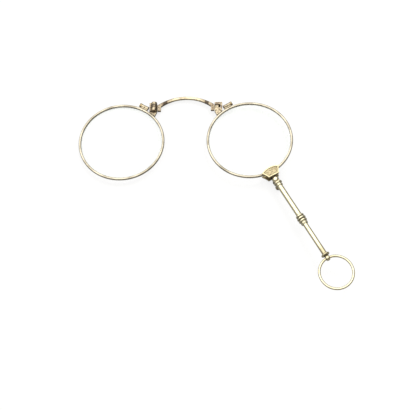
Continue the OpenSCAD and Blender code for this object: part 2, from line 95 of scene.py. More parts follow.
def axes_at(origin, x, y, z):
    """A matrix with the given axes and origin."""
    made = Matrix((x, y, z)).transposed().to_4x4()
    made.translation = origin
    return made


# The handle's own frame: x runs out from the right lens's centre, y across the handle and z up
RIGHT_EYE = middle("right_lens")
BRIDGE_MIDDLE = middle("bridge_bar").x
ACROSS = Vector(JOINTS["ring_swing"]["axis"])
ALONG = ACROSS.cross(UP)
HANDLE_LEVEL = JOINTS["ring_swing"]["pos_m"][2]
HANDLE = axes_at(Vector((RIGHT_EYE.x, RIGHT_EYE.y, HANDLE_LEVEL)), ALONG, ACROSS, UP)


def reach(node):
    """The lowest and highest corners of a CAD node in the handle's frame."""
    back = HANDLE.inverted()
    points = [back @ vertex.co for vertex in frame["nodes"][node].data.vertices]
    low = Vector(min(point[i] for point in points) for i in range(3))
    high = Vector(max(point[i] for point in points) for i in range(3))
    return low, high


def touchable(node):
    """A CAD node's surface, for finding where a line meets it."""
    mesh = frame["nodes"][node].data
    corners = [vertex.co for vertex in mesh.vertices]
    return BVHTree.FromPolygons(corners, [face.vertices for face in mesh.polygons])


def colour(red, green, blue):
    """A colour written in screen values, from 0 to 255, as the shader takes it."""

    def straight(part):
        part = part / 255
        return part / 12.92 if part <= 0.04045 else ((part + 0.055) / 1.055) ** 2.4

    return (straight(red), straight(green), straight(blue), 1)


class Value:
    """One output of a node, so that maths on it reads as a plain expression."""

    def __init__(self, tree, socket):
        self.tree = tree
        self.socket = socket

    def maths(self, operation, first, second):
        return self.tree.node("ShaderNodeMath", {"operation": operation}, {0: first, 1: second})

    def __add__(self, other):
        return self.maths("ADD", self, other)

    def __radd__(self, other):
        return self.maths("ADD", other, self)

    def __sub__(self, other):
        return self.maths("SUBTRACT", self, other)

    def __rsub__(self, other):
        return self.maths("SUBTRACT", other, self)

    def __mul__(self, other):
        return self.maths("MULTIPLY", self, other)

    def __rmul__(self, other):
        return self.maths("MULTIPLY", other, self)

    def __abs__(self):
        return self.maths("ABSOLUTE", self, None)

    def at_least(self, other):
        return self.maths("MAXIMUM", self, other)


class Tree:
    """A node tree under construction."""

    def __init__(self, group):
        self.group = group

    def node(self, kind, settings=None, sockets=None, output=0):
        """Adds a node, sets it up, fills or links its sockets, and returns one of its outputs."""
        made = self.group.nodes.new(kind)
        for name, value in (settings or {}).items():
            setattr(made, name, value)
        for name, value in (sockets or {}).items():
            if isinstance(value, Value):
                self.group.links.new(value.socket, made.inputs[name])
            elif value is not None:
                made.inputs[name].default_value = value
        return Value(self, made.outputs[output]) if made.outputs else None

    def rise(self, value, low, high):
        """0 below low and 1 above high, smooth between."""
        sockets = {"Value": value, "From Min": low, "From Max": high}
        return self.node("ShaderNodeMapRange", {"interpolation_type": "SMOOTHSTEP"}, sockets)


class Finish(Tree):
    """A material under construction."""

    def __init__(self, name):
        self.material = bpy.data.materials.new(name)
        self.material.use_nodes = True
        self.material.node_tree.nodes.clear()
        super().__init__(self.material.node_tree)

    def place(self, centre=(0, 0, 0), turn=(0, 0, 0), stretch=(1, 1, 1)):
        """Object coordinates seen from a pattern's centre, along its own turned and stretched axes."""
        sockets = {
            "Vector": self.node("ShaderNodeTexCoord", output="Object"),
            "Location": centre, "Rotation": turn, "Scale": stretch,
        }
        return self.node("ShaderNodeMapping", {"vector_type": "TEXTURE"}, sockets)

    def part(self, vector, axis):
        """One coordinate of a vector."""
        return self.node("ShaderNodeSeparateXYZ", None, {0: vector}, axis)

    def length(self, vector):
        return self.node("ShaderNodeVectorMath", {"operation": "LENGTH"}, {0: vector}, "Value")

    def noise(self, place, scale, detail=3, roughness=0.55):
        sockets = {"Vector": place, "Scale": scale, "Detail": detail, "Roughness": roughness}
        return self.node("ShaderNodeTexNoise", None, sockets)

    def mix(self, factor, first, second):
        """A colour between first and second."""
        return self.node("ShaderNodeMix", {"data_type": "RGBA"}, {0: factor, 6: first, 7: second}, 2)

    def bump(self, height, strength, distance):
        sockets = {"Height": height, "Strength": strength, "Distance": distance}
        return self.node("ShaderNodeBump", None, sockets)

    def surface(self, shader):
        """Ends the material with a shader, and returns it."""
        self.node("ShaderNodeOutputMaterial", None, {"Surface": shader})
        return self.material


def tint(name):
    """One of the colours in the sidebar."""
    return tuple(getattr(bpy.context.scene.lorgnette_colours, name))


# Turns the marks' z axis along the handle
ALONG_HANDLE = UP.rotation_difference(ALONG).to_euler()
# Fine marks from polishing: how many times longer than wide, and how many to a metre
MARK_STRETCH = 20
MARK_SCALE = 12000
# Clouds of dullness and small freckles: their scale, and the noise at which they begin and are full
CLOUD_SCALE = 480
CLOUDS = (0.4, 0.68)
FRECKLE_SCALE = 3200
FRECKLES = (0.62, 0.74)
# How much a corner is closed in where the painted shade and grime begin and where they are full
CORNER_SHADE_AND_GRIME = (0.1, 0.5)
# What each of them does to the age or the haze of the metal
FRECKLE_AGE = 0.12
CLOUD_HAZE = 0.1
SHADE_AND_GRIME_HAZE = 0.35
MARK_HAZE = 0.08
# How far marks and clouds lift the surface, as shares of a metal's own depth of marks
MARK_LIFT = 0.6
CLOUD_LIFT = 0.4
BUMP_STRENGTH = 0.2
# How much of its metallic look full painted shade and grime take away
SHADE_AND_GRIME_OVER_METAL = 0.5
# Metal darkened more than this also takes the painted shade and grime, this many times as fast as it
# darkens
DARKENING_LIMIT = 0.72
DARKENING_TO_SHADE_AND_GRIME = 3


def worn_gold(name, tone, dull, look):
    """Old gold: tone where it is rubbed, dull in clouds, painted shade and grime in corners, and fine
    polishing marks.
    """
    finish = Finish(name)
    plain = finish.place()
    clouds = finish.rise(finish.noise(plain, look.get("cloud_scale", CLOUD_SCALE), 4), *CLOUDS)
    freckles = finish.rise(finish.noise(plain, FRECKLE_SCALE, 2), *FRECKLES)
    centre = look.get("centre", (0, 0, 0))
    turn = look.get("turn", (0, 0, 0))
    scratches = finish.noise(finish.place(centre, turn, (1, 1, MARK_STRETCH)), MARK_SCALE, 2, 0.7)
    reach_out = {"Distance": look["grime_reach"]}
    # Ambient occlusion darkens the corners: painted shade, which stands for grime there as well
    near = finish.node("ShaderNodeAmbientOcclusion", {"samples": 6}, reach_out, "AO")
    packed_and_shaded = finish.rise(1 - near, *CORNER_SHADE_AND_GRIME) * look["grime"]
    # The darkening that a finish adds joins the clouds and freckles; round the hinges it is painted
    # shade as well as tarnish
    wear = clouds * look["age"] + freckles * FRECKLE_AGE
    if "darkening" in look:
        darkening = look["darkening"](finish)
        wear = wear + darkening
        packed_and_shaded = packed_and_shaded.at_least((darkening - DARKENING_LIMIT) * DARKENING_TO_SHADE_AND_GRIME)
    aged_and_shaded = finish.mix(wear, tone, dull)
    haze = look["haze"] + clouds * CLOUD_HAZE + packed_and_shaded * SHADE_AND_GRIME_HAZE + scratches * MARK_HAZE
    lift = scratches * MARK_LIFT + clouds * CLOUD_LIFT
    sockets = {
        "Base Color": finish.mix(packed_and_shaded, aged_and_shaded, tint("grime")),
        "Metallic": 1 - packed_and_shaded * SHADE_AND_GRIME_OVER_METAL,
        "Roughness": haze,
        "Normal": finish.bump(lift, BUMP_STRENGTH, look["marks"]),
    }
    return finish.surface(finish.node("ShaderNodeBsdfPrincipled", None, sockets))


# How far from the bridge's middle each of these begins and is full
SHOULDERS = (4.5 * MM, 8.5 * MM)
CHASED_FROM = (8.2 * MM, 8.6 * MM)
CHASED_TO = (9.9 * MM, 10.3 * MM)
HINGES = (11 * MM, 13 * MM)
HINGE_BLOCKS = (11.5 * MM, 13 * MM)
CLOSING_JOINTS = (16 * MM, 17 * MM)
BLOT_SCALE = 1100
BLOTS = (0.36, 0.74)


def bridge_shoulders(finish):
    """Brown on the bridge's shoulders, darkest between the chased marks, and dark blots round the
    hinges, which are tarnish and painted shade.
    """
    away = abs(finish.part(finish.place((BRIDGE_MIDDLE, 0, 0)), "X"))
    shoulder = finish.rise(away, *SHOULDERS) * (0.7 - finish.rise(away, *HINGE_BLOCKS) * 0.35)
    marks = finish.rise(away, *CHASED_FROM) * (1 - finish.rise(away, *CHASED_TO)) * 0.2
    # Dark blots round the hinges: tarnish, and painted shade on the knuckles and blocks
    blots = finish.rise(finish.noise(finish.place(), BLOT_SCALE, 5, 0.65), *BLOTS)
    hinges = finish.rise(away, *HINGES) * (0.75 - finish.rise(away, *CLOSING_JOINTS) * 0.35)
    return shoulder + marks + blots * hinges


def polished_gold():
    """Hinges, closing joints and bridge, whose shoulders have gone brown, with blots of tarnish and
    painted shade round the hinges.
    """
    look = {
        "haze": 0.17, "age": 0.5, "grime": 0.95, "grime_reach": 0.9 * MM, "marks": 0.006 * MM,
        "darkening": bridge_shoulders,
    }
    return worn_gold("polished_gold", tint("polished"), tint("brown"), look)


def eyewire_gold():
    """Eyewires: rolled gold worn thin and grey."""
    look = {
        "haze": 0.22, "age": 0.75, "grime": 0.7, "grime_reach": 0.5 * MM, "marks": 0.008 * MM,
        "cloud_scale": 160,
    }
    return worn_gold("eyewire_gold", tint("eyewires"), colour(140, 131, 113), look)


# How far below the border the carved ground ends and the tops of the carving begin
GROUND_TOP = 0.16 * MM
CARVED_TOP = 0.09 * MM


def engraved_ground(finish):
    """The shield's sunk field, but not its border or the tops of the carving."""
    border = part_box("front_plate")[1].z
    level = finish.part(finish.place(), "Z")
    return (1 - finish.rise(level, border - GROUND_TOP, border - CARVED_TOP)) * 0.7


def engraved_gold():
    """Shield plates, pale, with painted shade and grime in the carving's corners, and a darker sunk
    field.
    """
    look = {
        "haze": 0.26, "age": 0.3, "grime": 0.8, "grime_reach": 0.6 * MM, "marks": 0.006 * MM,
        "darkening": engraved_ground,
    }
    return worn_gold("engraved_gold", tint("shield"), colour(166, 152, 120), look)


def old_gold():
    """Catch block, lever and button, darkened where fingers don't rub, and darker all over as painted
    shade for their place under the shield and on the paper.
    """
    look = {"haze": 0.24, "age": 0.7, "grime": 0.95, "grime_reach": 1 * MM, "marks": 0.008 * MM}
    return worn_gold("old_gold", tint("catch"), colour(88, 74, 56), look)


# The brown round the end cap: its centre, from the cap's start, and its inner and outer reach
CAP_DARK = 2.65 * MM
CAP_DARK_REACH = (2 * MM, 6 * MM)


def handle_end(finish):
    """Darker and browner round the end cap and the ring's eye."""
    cap = HANDLE @ Vector((reach("end_cap")[0].x + CAP_DARK, 0, 0))
    return (1 - finish.rise(finish.length(finish.place(cap)), *CAP_DARK_REACH)) * 0.75


def handle_gold():
    """Tubes, collar, knop, end cap and ring, bright from handling."""
    look = {
        "haze": 0.15, "age": 0.35, "grime": 0.95, "grime_reach": 0.8 * MM, "marks": 0.005 * MM,
        "turn": ALONG_HANDLE, "centre": HANDLE.translation, "darkening": handle_end,
    }
    return worn_gold("handle_gold", tint("handle"), colour(208, 196, 160), look)


def screw_gold():
    """Closing screws, dark in the slot with painted shade and grime."""
    look = {"haze": 0.22, "age": 0.7, "grime": 1, "grime_reach": 0.8 * MM, "marks": 0.006 * MM}
    return worn_gold("screw_gold", colour(198, 176, 130), colour(112, 90, 62), look)


def pin_steel():
    """Hinge and catch pins, steel browned with age."""
    look = {"haze": 0.24, "age": 0.8, "grime": 0.9, "grime_reach": 0.5 * MM, "marks": 0.005 * MM}
    return worn_gold("pin_steel", colour(128, 114, 96), colour(74, 62, 50), look)


def spring_steel():
    """Blued spring wire."""
    look = {"haze": 0.3, "age": 0.6, "grime": 0.6, "grime_reach": 0.3 * MM, "marks": 0.003 * MM}
    return worn_gold("spring_steel", colour(104, 104, 108), colour(64, 62, 66), look)


# The lenses: their index, the share of their reflections that shows, and what smears take from it
GLASS_INDEX = 1.52
GLASS_HAZE = 0.02
GLASS_SHINE = 0.55
SMEAR_LOSS = 0.25
SMEAR_SCALE = 90
SMEARS = (0.45, 0.8)


def lens_glass():
    """Clear crown glass: reflections that grow towards grazing, with faint smears, over a clear body."""
    finish = Finish("lens_glass")
    clear = finish.node("ShaderNodeBsdfTransparent", None, {"Color": colour(253, 254, 253)})
    gloss = finish.node("ShaderNodeBsdfGlossy", None, {"Color": (1, 1, 1, 1), "Roughness": GLASS_HAZE})
    edge = finish.node("ShaderNodeFresnel", None, {"IOR": GLASS_INDEX})
    smears = finish.rise(finish.noise(finish.place(), SMEAR_SCALE, 3), *SMEARS)
    shine = edge * (GLASS_SHINE - smears * SMEAR_LOSS)
    return finish.surface(finish.node("ShaderNodeMixShader", None, {0: shine, 1: clear, 2: gloss}))


# The paper's two tones, the light that lifts it to white where it is seen, and metal's share of it
PAPER_TONE = colour(108, 108, 108)
FIBRE_TONE = colour(110, 110, 110)
PAPER_LIFT = 0.82
GLOSSY_SHARE = 0.2
FIBRE_SCALE = 60


def floor_paper():
    """White paper: it shows as white, holds soft shadows, and lies a little darker in the metal."""
    finish = Finish("floor_paper")
    grain = finish.noise(finish.place(), FIBRE_SCALE, 2)
    tone = finish.mix(grain, PAPER_TONE, FIBRE_TONE)
    matt = {"Base Color": tone, "Roughness": 1, "Specular IOR Level": 0}
    lit = finish.node("ShaderNodeBsdfPrincipled", None, matt)
    seen = finish.node("ShaderNodeLightPath", output="Is Camera Ray")
    through = finish.node("ShaderNodeLightPath", output="Is Transmission Ray")
    mirrored = finish.node("ShaderNodeLightPath", output="Is Glossy Ray")
    share = finish.node("ShaderNodeClamp", None, {"Value": seen + through + mirrored * GLOSSY_SHARE})
    dark = finish.node("ShaderNodeEmission", None, {"Strength": 0})
    glow = finish.node("ShaderNodeEmission", None, {"Strength": PAPER_LIFT})
    lift = finish.node("ShaderNodeMixShader", None, {0: share, 1: dark, 2: glow})
    return finish.surface(finish.node("ShaderNodeAddShader", None, {0: lit, 1: lift}))


FINISHES = {
    maker.__name__: maker
    for maker in (
        polished_gold, eyewire_gold, engraved_gold, old_gold, handle_gold, screw_gold, pin_steel,
        spring_steel, lens_glass, floor_paper,
    )
}
MADE = {}


def finish_named(name):
    """The finish of that name, made on its first use."""
    if name not in MADE:
        MADE[name] = FINISHES[name]()
    return MADE[name]


def link(mesh, name):
    """An object for a mesh, in the scene."""
    made = bpy.data.objects.new(name, mesh)
    bpy.context.scene.collection.objects.link(made)
    return made


def show(mesh, name, body, slot, *replaced):
    """Makes a finished mesh a piece that rides on a body and wears a slot's finish."""
    mesh.materials.clear()
    mesh.materials.append(finish_named(slot))
    piece = link(mesh, name)
    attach(piece, body)
    if replaced:
        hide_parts(*replaced)
    return piece


def dress_node(node):
    """Gives a CAD node that keeps its own mesh the finish of its slot."""
    piece = frame["nodes"][node]
    for slot in piece.material_slots:
        slot.link = "OBJECT"
        slot.material = finish_named(SLOT_OF[node])


def baked(holder, name):
    """The mesh of an object with its modifiers applied; the object itself goes."""
    graph = bpy.context.evaluated_depsgraph_get()
    mesh = bpy.data.meshes.new_from_object(holder.evaluated_get(graph))
    mesh.name = name
    bpy.data.objects.remove(holder)
    return mesh


def mesh_of(shape, name):
    """A smooth mesh from a bmesh, with its normals outwards."""
    bmesh.ops.recalc_face_normals(shape, faces=shape.faces)
    mesh = bpy.data.meshes.new(name)
    shape.to_mesh(mesh)
    shape.free()
    mesh.shade_smooth()
    return mesh


def skin(shape, rows):
    """Faces from each row of vertices to the next; every row is closed on itself."""
    for first, second in zip(rows, rows[1:]):
        for i in range(len(first)):
            shape.faces.new((first[i - 1], first[i], second[i], second[i - 1]))


# Faces flatter than the first angle are merged, and edges sharper than the second are rounded
FLAT_ANGLE = math.radians(1)
SHARP_ANGLE = math.radians(40)
WELD = 0.0005 * MM
# What the CAD mesh holds about sharpness, which the rounding sets anew
CAD_SHARPNESS = ("custom_normal", "sharp_edge", "sharp_face")


def softened(node, width):
    """Replaces a CAD node by a copy with its sharp edges rounded over, as polishing leaves them."""
    shape = bmesh.new()
    shape.from_mesh(frame["nodes"][node].data)
    bmesh.ops.remove_doubles(shape, verts=shape.verts, dist=WELD)
    bmesh.ops.dissolve_limit(
        shape, angle_limit=FLAT_ANGLE, verts=shape.verts, edges=shape.edges, delimit={"NORMAL"}
    )
    mesh = bpy.data.meshes.new(node)
    shape.to_mesh(mesh)
    shape.free()
    for attribute in CAD_SHARPNESS:
        if attribute in mesh.attributes:
            mesh.attributes.remove(mesh.attributes[attribute])
    mesh.shade_smooth()
    holder = link(mesh, node + "_raw")
    bevel = holder.modifiers.new("soften", "BEVEL")
    bevel.limit_method = "ANGLE"
    bevel.angle_limit = SHARP_ANGLE
    bevel.width = width
    bevel.segments = 2
    bevel.use_clamp_overlap = True
    bevel.harden_normals = True
    show(baked(holder, node + "_soft"), node + "_soft", BODY_OF[node], SLOT_OF[node], node)


def growing_tree(name, inputs):
    """An empty geometry nodes tree with named inputs, a finish to wear and one output."""
    group = bpy.data.node_groups.new(name, "GeometryNodeTree")
    for label, kind in (*inputs, ("Finish", "NodeSocketMaterial")):
        group.interface.new_socket(label, in_out="INPUT", socket_type=kind)
    group.interface.new_socket("Done", in_out="OUTPUT", socket_type="NodeSocketGeometry")
    return Tree(group)


def finished_tree(tree, shape):
    """Ends a geometry nodes tree with real geometry that wears its finish."""
    real = tree.node("GeometryNodeRealizeInstances", None, {0: shape})
    finish = tree.node("NodeGroupInput", output="Finish")
    dressed = tree.node("GeometryNodeSetMaterial", None, {"Geometry": real, "Material": finish})
    tree.node("NodeGroupOutput", None, {0: dressed})
    return tree.group


def repeat_tree():
    """Geometry nodes that set a marker on every point, turned and sized by the point's own values."""
    inputs = (("Points", "NodeSocketGeometry"), ("Marker", "NodeSocketObject"))
    tree = growing_tree("set_on_points", inputs)
    marker = tree.node("NodeGroupInput", output="Marker")
    turn = tree.node("GeometryNodeInputNamedAttribute", {"data_type": "FLOAT_VECTOR"}, {"Name": "turn"})
    sockets = {
        "Points": tree.node("NodeGroupInput", output="Points"),
        "Instance": tree.node("GeometryNodeObjectInfo", None, {"Object": marker}, "Geometry"),
        "Rotation": tree.node("FunctionNodeEulerToRotation", None, {0: turn}),
        "Scale": tree.node("GeometryNodeInputNamedAttribute", {"data_type": "FLOAT"}, {"Name": "size"}),
    }
    return finished_tree(tree, tree.node("GeometryNodeInstanceOnPoints", None, sockets))


RIDGE_SIDES = 8


def swept_tree():
    """Geometry nodes that sweep a rounded ridge along curves, as wide as asked."""
    tree = growing_tree("carved_ridge", (("Paths", "NodeSocketGeometry"), ("Width", "NodeSocketFloat")))
    round_bar = {"Resolution": RIDGE_SIDES, "Radius": tree.node("NodeGroupInput", output="Width")}
    sockets = {
        "Curve": tree.node("NodeGroupInput", output="Paths"),
        "Profile Curve": tree.node("GeometryNodeCurvePrimitiveCircle", {"mode": "RADIUS"}, round_bar),
        "Scale": tree.node("GeometryNodeInputRadius"),
        "Fill Caps": True,
    }
    return finished_tree(tree, tree.node("GeometryNodeCurveToMesh", None, sockets))


def grown(holder, tree, inputs, name):
    """The mesh that a geometry nodes tree makes of an object, its inputs set by identifier."""
    modifier = holder.modifiers.new("grow", "NODES")
    modifier.node_group = tree
    for item in tree.interface.items_tree:
        if item.in_out == "INPUT" and item.name in inputs:
            modifier[item.identifier] = inputs[item.name]
    made = baked(holder, name)
    made.shade_smooth()
    return made


def repeated(marker, places, name, slot):
    """One mesh that holds a copy of marker at each place, a pair of a matrix and a size."""
    mesh = bpy.data.meshes.new(name)
    mesh.from_pydata([place.translation for place, size in places], [], [])
    turns = mesh.attributes.new("turn", "FLOAT_VECTOR", "POINT")
    turns.data.foreach_set("vector", [angle for place, size in places for angle in place.to_euler()])
    sizes = mesh.attributes.new("size", "FLOAT", "POINT")
    sizes.data.foreach_set("value", [size for place, size in places])
    source = link(marker, name + "_marker")
    inputs = {"Marker": source, "Finish": finish_named(slot)}
    made = grown(link(mesh, name + "_points"), repeat_tree(), inputs, name)
    bpy.data.objects.remove(source)
    return made


def swept(paths, width, name, slot):
    """Ridges along paths, each a list of pairs of a point and a share of the width."""
    curve = bpy.data.curves.new(name, "CURVE")
    curve.dimensions = "3D"
    for path in paths:
        line = curve.splines.new("POLY")
        line.points.add(len(path) - 1)
        for point, (spot, share) in zip(line.points, path):
            point.co = (*spot, 1)
            point.radius = share
    inputs = {"Width": width, "Finish": finish_named(slot)}
    return grown(link(curve, name + "_paths"), swept_tree(), inputs, name)


class LorgnetteSizes(bpy.types.PropertyGroup):
    """Sizes that the finishing adds to the construction."""

    edge: bpy.props.FloatProperty(
        name="Edge rounding", description="How far polishing has rounded the metal's edges",
        default=0.06 * MM, unit="LENGTH",
    )
    lens_edge: bpy.props.FloatProperty(
        name="Lens edge", description="Thickness of a lens where its bevel starts",
        default=0.9 * MM, unit="LENGTH",
    )
    lens_bevel: bpy.props.FloatProperty(
        name="Lens bevel", description="Depth of the bevel on a lens's edge",
        default=0.35 * MM, unit="LENGTH",
    )
    lens_gap: bpy.props.FloatProperty(
        name="Lens play", description="Gap between a lens and its eyewire",
        default=0.03 * MM, unit="LENGTH",
    )
    field_depth: bpy.props.FloatProperty(
        name="Field depth", description="Depth of the shield's field below its border",
        default=0.2 * MM, unit="LENGTH",
    )
    carving: bpy.props.FloatProperty(
        name="Carving", description="Half the width of the carved scroll's ridges",
        default=0.12 * MM, unit="LENGTH",
    )
    chase: bpy.props.FloatProperty(
        name="Chasing", description="Half the width of the bridge's chased marks",
        default=0.13 * MM, unit="LENGTH",
    )
    milling: bpy.props.IntProperty(
        name="Milling", description="Ribs round the release button's edge", default=28, min=8
    )


class LorgnetteColours(bpy.types.PropertyGroup):
    """Colours of the metal where it is rubbed, of what time has left on it, and of the painted shade in
    its corners.
    """

    polished: bpy.props.FloatVectorProperty(
        name="Hinges and bridge", description="Gold of the hinges, the bridge and the closing joints",
        default=colour(224, 211, 178), subtype="COLOR", size=4, min=0, max=1,
    )
    eyewires: bpy.props.FloatVectorProperty(
        name="Eyewires", description="Gold of both eyewires",
        default=colour(204, 196, 176), subtype="COLOR", size=4, min=0, max=1,
    )
    shield: bpy.props.FloatVectorProperty(
        name="Shield", description="Gold of the shield plates and their carving",
        default=colour(226, 214, 174), subtype="COLOR", size=4, min=0, max=1,
    )
    # The catch's gold is darker than the rest: partly painted shade, for its place under the shield and
    # against the paper
    catch: bpy.props.FloatVectorProperty(
        name="Catch", description="Gold of the catch block, its lever and the button",
        default=colour(176, 159, 126), subtype="COLOR", size=4, min=0, max=1,
    )
    handle: bpy.props.FloatVectorProperty(
        name="Handle", description="Gold of the collar, tubes, knop, end cap and ring",
        default=colour(236, 228, 196), subtype="COLOR", size=4, min=0, max=1,
    )
    brown: bpy.props.FloatVectorProperty(
        name="Browned gold", description="What the gold of the hinges and the bridge has turned to",
        default=colour(128, 113, 96), subtype="COLOR", size=4, min=0, max=1,
    )
    # Painted shade in the corners, which is also the colour of grime there
    grime: bpy.props.FloatVectorProperty(
        name="Grime", description="Dirt packed into the corners",
        default=colour(52, 42, 33), subtype="COLOR", size=4, min=0, max=1,
    )


class LorgnetteView(bpy.types.PropertyGroup):
    """Where the camera stands, as in the photograph."""

    azimuth: bpy.props.FloatProperty(
        name="Azimuth", description="Camera's turn about the pair",
        default=math.radians(4.857), subtype="ANGLE",
    )
    elevation: bpy.props.FloatProperty(
        name="Elevation", description="Camera's height over the pair",
        default=math.radians(63.978), subtype="ANGLE",
    )
    roll: bpy.props.FloatProperty(
        name="Roll", description="Camera's tilt in its own picture",
        default=math.radians(-5.296), subtype="ANGLE",
    )
    distance: bpy.props.FloatProperty(
        name="Distance", description="From the camera to the point it faces",
        default=458.55 * MM, unit="LENGTH",
    )
    focal: bpy.props.FloatProperty(
        name="Focal length", description="Of the camera's lens on a 36 mm wide frame",
        default=95.09, unit="CAMERA",
    )
    target: bpy.props.FloatVectorProperty(
        name="Target", description="Point that the camera faces, from the right lens's centre",
        default=(-19.441 * MM, -31.290 * MM, 0), subtype="TRANSLATION", unit="LENGTH",
    )


def turned(profile, spokes, place, name):
    """A closed solid of revolution: pairs of distance out and height, from the top pole to the foot."""
    shape = bmesh.new()
    ways = [FULL_TURN * i / spokes for i in range(spokes)]
    rings = []
    for out, up in profile:
        if out == 0:
            rings.append([shape.verts.new(place @ Vector((0, 0, up)))] * spokes)
            continue
        ring = [Vector((out * math.cos(way), out * math.sin(way), up)) for way in ways]
        rings.append([shape.verts.new(place @ spot) for spot in ring])
    for above, below in zip(rings, rings[1:]):
        for i in range(spokes):
            corners = [above[i], above[i - 1], below[i - 1], below[i]]
            shape.faces.new(list(dict.fromkeys(corners)))
    return mesh_of(shape, name)


LENS_SPOKES = 160
LENS_RINGS = 24
# Half the width of the flat at the tip of a lens's bevel
BEVEL_TIP = 0.09 * MM


class LORGNETTE_OT_lenses(bpy.types.Operator):
    """Grinds the two lenses: smooth curved faces and a bevelled edge that sits in the eyewire"""

    bl_idname = "lorgnette.lenses"
    bl_label = "Lenses"

    def execute(self, context):
        sizes = context.scene.lorgnette_sizes
        for node in ("right_lens", "left_lens"):
            low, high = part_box(node)
            radius = (high.x - low.x) / 2
            half = (high.z - low.z) / 2
            face = radius - sizes.lens_bevel
            sag = half - sizes.lens_edge / 2
            curve = (face ** 2 + sag ** 2) / (2 * sag)
            outs = [face * i / LENS_RINGS for i in range(LENS_RINGS + 1)]
            front = [(out, half - curve + math.sqrt(curve ** 2 - out ** 2)) for out in outs]
            back = [(out, -up) for out, up in reversed(front)]
            profile = [*front, (radius, BEVEL_TIP), (radius, -BEVEL_TIP), *back]
            place = Matrix.Translation((low + high) / 2)
            mesh = turned(profile, LENS_SPOKES, place, node + "_ground")
            mesh.set_sharp_from_angle(angle=SHARP_ANGLE)
            piece = show(mesh, node + "_ground", BODY_OF[node], SLOT_OF[node], node)
            piece.visible_shadow = False
        return {"FINISHED"}


RIM_STEPS = 220
RIM_SECTION = 32
# 2 would make the eyewire's section an ellipse, and more makes it squarer
RIM_FULLNESS = 2.5
SLIT = 0.12 * MM


class LORGNETTE_OT_eyewires(bpy.types.Operator):
    """Rolls both eyewires, slit at the closing joint, and finishes the barrels and screws"""

    bl_idname = "lorgnette.eyewires"
    bl_label = "Eyewires and closing joints"

    def execute(self, context):
        sizes = context.scene.lorgnette_sizes
        for side in ("right", "left"):
            node = side + "_rim"
            mesh = self.rolled(node, middle(side + "_closing_barrel"), sizes)
            show(mesh, node + "_rolled", BODY_OF[node], SLOT_OF[node], node)
            for part in ("_closing_barrel", "_closing_screw"):
                softened(side + part, sizes.edge)
        return {"FINISHED"}

    def rolled(self, node, joint, sizes):
        """An open ring of rounded section round a lens, with its slit turned to the closing joint."""
        low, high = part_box(node)
        centre = (low + high) / 2
        outer = (high.x - low.x) / 2
        inner = min((vertex.co - centre).to_2d().length for vertex in self.lips(node, centre))
        section = self.section(inner, outer, (high.z - low.z) / 2, sizes)
        toward = math.atan2(joint.y - centre.y, joint.x - centre.x)
        gap = SLIT / (outer + inner)
        shape = bmesh.new()
        rows = []
        for i in range(RIM_STEPS + 1):
            turn = toward + gap + (FULL_TURN - 2 * gap) * i / RIM_STEPS
            out = Vector((math.cos(turn), math.sin(turn), 0))
            rows.append([shape.verts.new(centre + out * r + UP * z) for r, z in section])
        skin(shape, rows)
        for row in (rows[0], rows[-1]):
            shape.faces.new(row)
        mesh = mesh_of(shape, node + "_rolled")
        mesh.set_sharp_from_angle(angle=SHARP_ANGLE)
        return mesh

    def lips(self, node, centre):
        """The vertices of an eyewire above its groove."""
        vertices = frame["nodes"][node].data.vertices
        return [vertex for vertex in vertices if vertex.co.z > centre.z]

    def section(self, inner, outer, half, sizes):
        """The eyewire's section: distance out and height, round the outside, back along the groove."""
        mid, wide = (outer + inner) / 2, (outer - inner) / 2
        lip = sizes.lens_edge / 2 + sizes.lens_gap
        points = []
        for i in range(RIM_SECTION + 1):
            turn = math.pi * (1 - 2 * i / RIM_SECTION)
            x, z = math.cos(turn), math.sin(turn)
            r = mid + wide * math.copysign(abs(x) ** (2 / RIM_FULLNESS), x)
            z = half * math.copysign(abs(z) ** (2 / RIM_FULLNESS), z)
            if r > mid or abs(z) > lip:
                points.append((r, z))
        floor = sizes.lens_gap + BEVEL_TIP
        depth = inner + sizes.lens_bevel - sizes.lens_gap
        return [*points, (depth, -floor), (depth, floor)]


class LORGNETTE_OT_hinges(bpy.types.Operator):
    """Finishes both hinges: block, pin, spring and the bridge's knuckle"""

    bl_idname = "lorgnette.hinges"
    bl_label = "Hinges"

    def execute(self, context):
        edge = context.scene.lorgnette_sizes.edge
        for side in ("right", "left"):
            dress_node(side + "_hinge_spring")
            for part in ("_hinge_block", "_hinge_pin", "_bridge_knuckle"):
                softened(side + part, edge)
        return {"FINISHED"}


# The chased marks across the bridge: the first lies this far from the middle, the others a step on
SHOULDER = 8.7 * MM
CHASE_STEP = 0.62 * MM
CHASE_MARKS = 3
CHASE_SAMPLES = 9
# How far a mark stays from the bar's edges, as a share of the bar's height
CHASE_MARGIN = 0.04
# A chased or carved line at its fine end, as a share of its full width
FINE_END = 0.45


